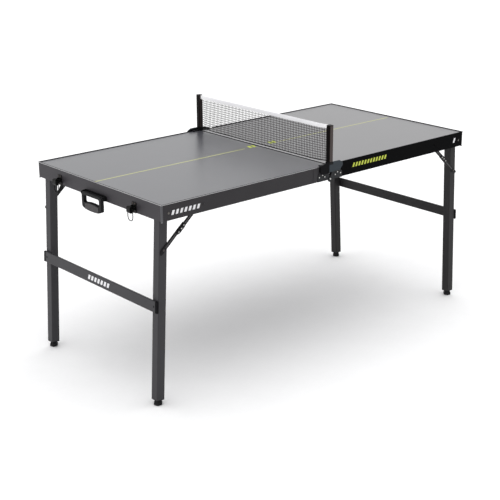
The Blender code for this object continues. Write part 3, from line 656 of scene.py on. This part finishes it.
def slanted_bars(name, start, end, drop, height, count, mat, half):
    """A plain row of slanted bars on the near side face, in place of lettering."""
    bm = bmesh.new()
    pitch = (end - start) / count
    for i in range(count):
        bar = slanted(pitch * i, pitch * BAR_SHARE, height, height * BAR_LEAN)
        plate(bm, bar, outward(start, TOP - drop, -1), MARK_THICK, MARK_EDGE)
    piece(name, bm, mat, f"{half}_half")


def side_marks():
    """The rows of bars on the near side: left, right, and a single one near the right end."""
    slanted_bars("mark_left", -0.762, -0.632, 0.040, 0.016, 7, WHITE_PAINT, "left")
    slanted_bars("mark_right", 0.126, 0.324, 0.0315, 0.016, 12, BRIGHT_PAINT, "right")
    slanted_bars("mark_end", 0.738, 0.756, 0.037, 0.019, 1, WHITE_PAINT, "right")


def crossbar_mark():
    """A plain row of slanted white bars on the left crossbar."""
    bars, pitch, start = 7, 0.0205, 0.060
    out = CROSSBAR_FACE + CROSSBAR_THICK
    foot = CROSSBAR_CENTRE - CROSSBAR_MARK_BAR[1] / 2
    bm = bmesh.new()
    for i in range(bars):
        spot = Matrix.Translation((-out, start - pitch * i, foot))
        place = leg_frame_place("left") @ spot @ END_TURN
        plate(bm, slanted(0, *CROSSBAR_MARK_BAR), place, MARK_THICK, MARK_EDGE)
    piece("mark_crossbar", bm, WHITE_PAINT, "leg_frame_left")


# Fasteners, plates and caps


def hinge_details():
    """Rivets in each hinge leaf, and a cover strip beyond it."""
    strip = rounded((-STRIP_HALF, 0), (STRIP_HALF, STRIP_HEIGHT), CAP_CORNER)
    for half, sign in HALVES.items():
        slot = f"apron_{half}"
        # Painted shade: the left cover strips take the darker copy of the left apron's finish.
        strip_finish = SIDE_LEFT_SHADED if half == "left" else MATS[slot]
        for side, y_sign in SIDES.items():
            bm = bmesh.new()
            for x, drop in LEAF_RIVET_SPOTS:
                rivet(bm, outward(sign * x, TOP - drop, y_sign, LEAF_PROUD[half]), *LEAF_RIVET)
            piece(f"leaf_rivets_{side}_{half}", bm, RIVET_STEEL, f"{half}_half", True)
            bm = bmesh.new()
            plate(bm, strip, outward(sign * STRIP_X, APRON_Z + STRIP_FOOT, y_sign), STRIP_THICK)
            piece(f"cover_strip_{side}_{half}", bm, strip_finish, f"{half}_half")


def corner_caps():
    """A lighter cap under each corner cover."""
    for half in HALVES:
        for side in SIDES:
            low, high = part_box(f"corner_{side}_{half}")
            corner = (low[0] + CAP_INSET, low[1] + CAP_INSET)
            outline = rounded(corner, (high[0] - CAP_INSET, high[1] - CAP_INSET), CAP_CORNER)
            bm = bmesh.new()
            plate(bm, outline, Matrix.Translation((0, 0, low[2] - CAP_DROP)), *CAP_PLATE)
            piece(f"corner_cap_{side}_{half}", bm, CAP_PLASTIC, f"{half}_half")


def bracket_details():
    """The fold pins' bright heads, and each bracket's black plate of painted shade over its left wing,
    and its smooth outer cover.
    """
    cover = COVER_HEEL + arc(*COVER_NOSE, 6) + COVER_BROW
    for side, y_sign in SIDES.items():
        bm = bmesh.new()
        turned(bm, PIN_PROFILE, outward(0, APRON_Z + PIN_HEIGHT, y_sign, LEAF_PROUD["right"]))
        piece(f"pin_head_{side}", bm, RIVET_STEEL, "left_half", True)
        face = outward(0, TOP, y_sign, BRACKET_FACE)
        # Painted shade: the black plate darkens the bracket's left wing.
        bm = bmesh.new()
        plate(bm, BRACKET_SHADE_OUTLINE, face, *BRACKET_SHADE_PLATE)
        piece(f"bracket_shade_{side}", bm, TRIM_BLACK, "net_set")
        bm = bmesh.new()
        plate(bm, cover, face, *COVER_PLATE)
        piece(f"bracket_cover_{side}", bm, BRACKET_PLASTIC, "net_set")


def post_details():
    """A brown-grey strip down the outer and inner face of each post."""
    for side in SIDES:
        low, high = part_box(f"net_post_{side}")
        head = high[2] - low[2] - POST_STRIP_HEAD
        strip = rounded((-POST_STRIP_HALF, POST_STRIP_FOOT), (POST_STRIP_HALF, head), POST_STRIP_FOOT)
        for name, y, face in (("in", low[1], -1), ("out", high[1], 1)):
            bm = bmesh.new()
            plate(bm, strip, facing(face), *POST_STRIP_PLATE)
            bm.transform(Matrix.Translation((0, y, low[2])))
            piece(f"post_face_{side}_{name}", bm, POST_FACE, "net_set")


def crossbar_details():
    """Moulded caps in the crossbar's ends, and the screws that hold it to the legs."""
    reach = CROSSBAR_HEIGHT / 2 + BAR_CAP_EXTRA
    end = HALF_WIDTH - LEG_DEPTH
    for half, sign in HALVES.items():
        place = leg_frame_place(half)
        outer = sign * (CROSSBAR_FACE + CROSSBAR_THICK)
        turn = Matrix.Rotation(math.radians(90) * sign, 4, "Y")
        x0, x1 = sorted((sign * (CROSSBAR_FACE + BAR_CAP_GAP), outer + sign * BAR_CAP_EXTRA))
        outline = rounded((x0, CROSSBAR_CENTRE - reach), (x1, CROSSBAR_CENTRE + reach), CAP_CORNER)
        for side, y_sign in SIDES.items():
            loops = []
            for out, inset in BAR_CAP_STATIONS:
                y = y_sign * (end + out)
                loops.append([place @ Vector((u, y, v)) for u, v in shrunk(outline, inset)])
            bm = bmesh.new()
            skin(bm, loops)
            piece(f"bar_cap_{side}_{half}", bm, TRIM_BLACK, f"leg_frame_{half}")
            bm = bmesh.new()
            spot = Matrix.Translation((outer, y_sign * (end - LEG_SIZE / 2), CROSSBAR_CENTRE))
            rivet(bm, place @ spot @ turn, *BAR_SCREW)
            steel = MATS["hinge_steel"]
            piece(f"bar_screw_{side}_{half}", bm, steel, f"leg_frame_{half}", True)


def brace_points():
    """The brace's upper pivot, elbow and leg pivot in the XZ plane of the right half."""
    down = Vector((math.sin(LEG_LEAN), 0, -math.cos(LEG_LEAN)))
    leg_point = LEG_PIVOT + down * BRACE_ON_LEG
    reach = (BRACE_PIVOT - leg_point).length
    elbow = BRACE_PIVOT + (leg_point - BRACE_PIVOT).normalized() * ((reach + BRACE_FOLDED_SPARE) / 2)
    return BRACE_PIVOT, elbow, leg_point


def along(start, end, y, y_sign):
    """A frame at a point of a brace: X along the arm, Z out of the side face."""
    direction = (end - start).normalized()
    out = Vector((0, y_sign, 0))
    up = out.cross(direction)
    turn = Matrix((direction, up, out)).transposed().to_4x4()
    return Matrix.Translation((start.x, y, start.z)) @ turn


def brace(half, side):
    """A raised web on each arm, pale as a painted highlight, the lock at the elbow, the hook at the leg,
    and the rivets.
    """
    key = f"{side}_{half}"
    y_sign = SIDES[side]
    upper_y, lower_y = (y_sign * (HALF_WIDTH - ARM_DEPTH[arm]) for arm in ("upper", "lower"))
    pivot, elbow, foot = (Vector((HALVES[half] * p.x, 0, p.z)) for p in brace_points())
    for arm, start, y in (("upper", pivot, upper_y), ("lower", foot, lower_y)):
        end = (elbow - start).length - WEB_END
        web = rounded((WEB_START, -WEB_HALF), (end, WEB_HALF), WEB_CORNER)
        bm = bmesh.new()
        plate(bm, web, along(start, elbow, y, y_sign), WEB_THICK)
        piece(f"web_{arm}_{key}", bm, ARM_HIGHLIGHT, f"brace_{arm}_{key}")
    place = along(elbow, foot, upper_y, y_sign)
    bm = bmesh.new()
    plate(bm, LOCK_OUTLINE, place, LOCK_THICK)
    behind = Matrix.Translation((0, -y_sign * LOCK_BACK_IN, 0))
    plate(bm, LOCK_OUTLINE, behind @ place, *LOCK_BACK_PLATE)
    piece(f"elbow_lock_{key}", bm, MATS["brace_steel"], f"brace_upper_{key}")
    bm = bmesh.new()
    for u, v, radius in LOCK_RIVETS:
        rivet(bm, place @ Matrix.Translation((u, v, LOCK_THICK)), radius, LOCK_RIVET_HEIGHT)
    piece(f"elbow_rivets_{key}", bm, RIVET_STEEL, f"brace_upper_{key}", True)
    bm = bmesh.new()
    plate(bm, HOOK_OUTLINE, along(foot, elbow, lower_y, y_sign), HOOK_THICK)
    piece(f"arm_hook_{key}", bm, MATS["brace_steel"], f"brace_lower_{key}")
    bm = bmesh.new()
    rivet(bm, along(foot, elbow, lower_y + y_sign * LEG_RIVET_OUT, y_sign), *LEG_RIVET)
    piece(f"leg_rivet_{key}", bm, WORN_STEEL, f"leg_frame_{half}", True)


# Handle and latches


def handle_grip():
    """A ribbed sleeve over the handle's bellied lower bar, and the dark plate behind the handle."""
    x = -HALF_LENGTH - HANDLE_OUT
    half_width = HANDLE_WIDTH / 2
    span = half_width - SLEEVE_END_INSET
    foot = HANDLE_LOW + HANDLE_BELLY
    bend, round_off = HANDLE_END_CURVE
    loops = []
    for i in range(int(2 * SLEEVE_REACH / SLEEVE_PITCH)):
        for share, rise in SLEEVE_RIBS:
            y = -SLEEVE_REACH + SLEEVE_PITCH * (i + share)
            u = (abs(y) / half_width) ** bend
            dip = (SLEEVE_SHOULDER + HANDLE_BELLY) * (1 - u * u) ** round_off
            low = foot + SLEEVE_SHOULDER - dip - rise
            high = foot + HANDLE_GRIP + HANDLE_BELLY * (1 - (y / span) ** 2) - SLEEVE_HEADROOM
            outline = rounded((-SLEEVE_HALF - rise, low), (SLEEVE_HALF + rise, high), SLEEVE_CORNER)
            loops.append([Vector((x + p[0], y, p[1])) for p in outline])
    bm = bmesh.new()
    skin(bm, loops)
    piece("handle_sleeve", bm, GRIP_RUBBER, "carry_handle")
    bm = bmesh.new()
    low, high = (APRON_Z + z for z in HANDLE_PLATE_SPAN)
    outline = rounded((-HANDLE_PLATE_HALF, low), (HANDLE_PLATE_HALF, high), HANDLE_PLATE_CORNER)
    plate(bm, outline, left_end(0, 0), HANDLE_PLATE_THICK)
    piece("handle_plate", bm, TRIM_BLACK, "left_half")


def latch_details():
    """Four screws in each latch base."""
    for side, y_sign in SIDES.items():
        bm = bmesh.new()
        for step, rise in LATCH_SCREW_SPOTS:
            place = left_end(y_sign * LATCH_Y + step, LATCH_PIVOT_Z + rise, LATCH_PLATE)
            rivet(bm, place, *LATCH_SCREW)
        piece(f"latch_screws_{side}", bm, WORN_STEEL, "left_half", True)


# Net


def net_lift(y):
    """How far the net's lower edge is drawn up near its posts."""
    end = (abs(y) - NET_HIGH[1] + NET_LIFT_REACH) / NET_LIFT_REACH
    return NET_LIFT * max(0.0, end) ** 2


def net_mesh():
    """Crossing strands, knotted where they meet, from the tape down to the lower cord."""
    rng = random.Random(NET_SEED)
    low = TOP + MESH_FOOT
    high = NET_HIGH[2] - MESH_HEAD
    reach = NET_HIGH[1] - MESH_END_GAP
    columns = int(2 * reach / STRAND_PITCH)
    rows = int((high - low) / STRAND_PITCH)
    sway = [rng.uniform(-STRAND_SWAY, STRAND_SWAY) for _ in range(columns + 1)]

    def knot(column, row):
        y = -reach + 2 * reach * column / columns
        t = row / rows
        z = low + net_lift(y) + (high - low - net_lift(y)) * t
        sag = STRAND_SAG * math.sin(column * STRAND_SAG_TURN) * (1 - t)
        return Vector((sway[column] * (1 - t), y, z + sag))

    bm = bmesh.new()
    for column in range(columns + 1):
        tube(bm, [knot(column, row) for row in range(rows + 1)], STRAND_RADIUS, STRAND_SIDES)
    spokes = [Vector((u, 0, v)) for u, v in circle(STRAND_RADIUS, STRAND_SIDES)]
    for row in range(rows):
        path = [knot(column, row) for column in range(columns + 1)]
        skin(bm, [[point + spoke for spoke in spokes] for point in path])
    strands = sum(f.calc_area() for f in bm.faces)
    obj = piece("net_mesh", bm, MATS["net_fabric"], "net_set", True)
    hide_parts("net")


def net_tape():
    """The white band folded over the net's top edge, with its stitched lower hems."""
    reach = NET_HIGH[1] - NET_END_GAP
    top = NET_HIGH[2]
    t = TAPE_HALF
    loops = []
    for i in range(TAPE_STEPS + 1):
        y = -reach + 2 * reach * i / TAPE_STEPS
        curl = TAPE_CURL * max(0.0, (-y - reach + TAPE_CURL_REACH) / TAPE_CURL_REACH) ** 2
        ripple = TAPE_RIPPLE * math.sin(y * TAPE_RIPPLES)
        drop = top - TAPE_WIDTH + HEM_WAVE * math.sin(y * HEM_WAVES)
        profile = [
            (-t, drop), (-t - 0.0002, drop + 0.0016), (-t, drop + 0.0024), (-t - 0.0001, top - 0.002),
            (-0.0006, top - 0.0003), (0.0006, top - 0.0003), (t + 0.0001, top - 0.002),
            (t, drop + 0.0024), (t + 0.0002, drop + 0.0016), (t, drop),
        ]
        loops.append([Vector((u + ripple, y, v + curl)) for u, v in profile])
    bm = bmesh.new()
    skin(bm, loops)
    obj = piece("net_tape", bm, TAPE_CLOTH, "net_set", True)


def net_cord():
    """The dark cord along the net's lower edge."""
    reach = NET_HIGH[1] - NET_END_GAP
    ys = [-reach + 2 * reach * i / CORD_STEPS for i in range(CORD_STEPS + 1)]
    bm = bmesh.new()
    tube(bm, [Vector((0, y, TOP + CORD_FOOT + net_lift(y))) for y in ys], CORD_RADIUS, 8)
    piece("net_cord", bm, CORD_CLOTH, "net_set", True)


finish_cad_nodes()
camera()
studio()
overhead_light()
floor()
painted_lines()
trims()
side_marks()
crossbar_mark()
hinge_details()
corner_caps()
bracket_details()
post_details()
crossbar_details()
for half in HALVES:
    for side in SIDES:
        brace(half, side)
handle_grip()
latch_details()
net_mesh()
net_tape()
net_cord()
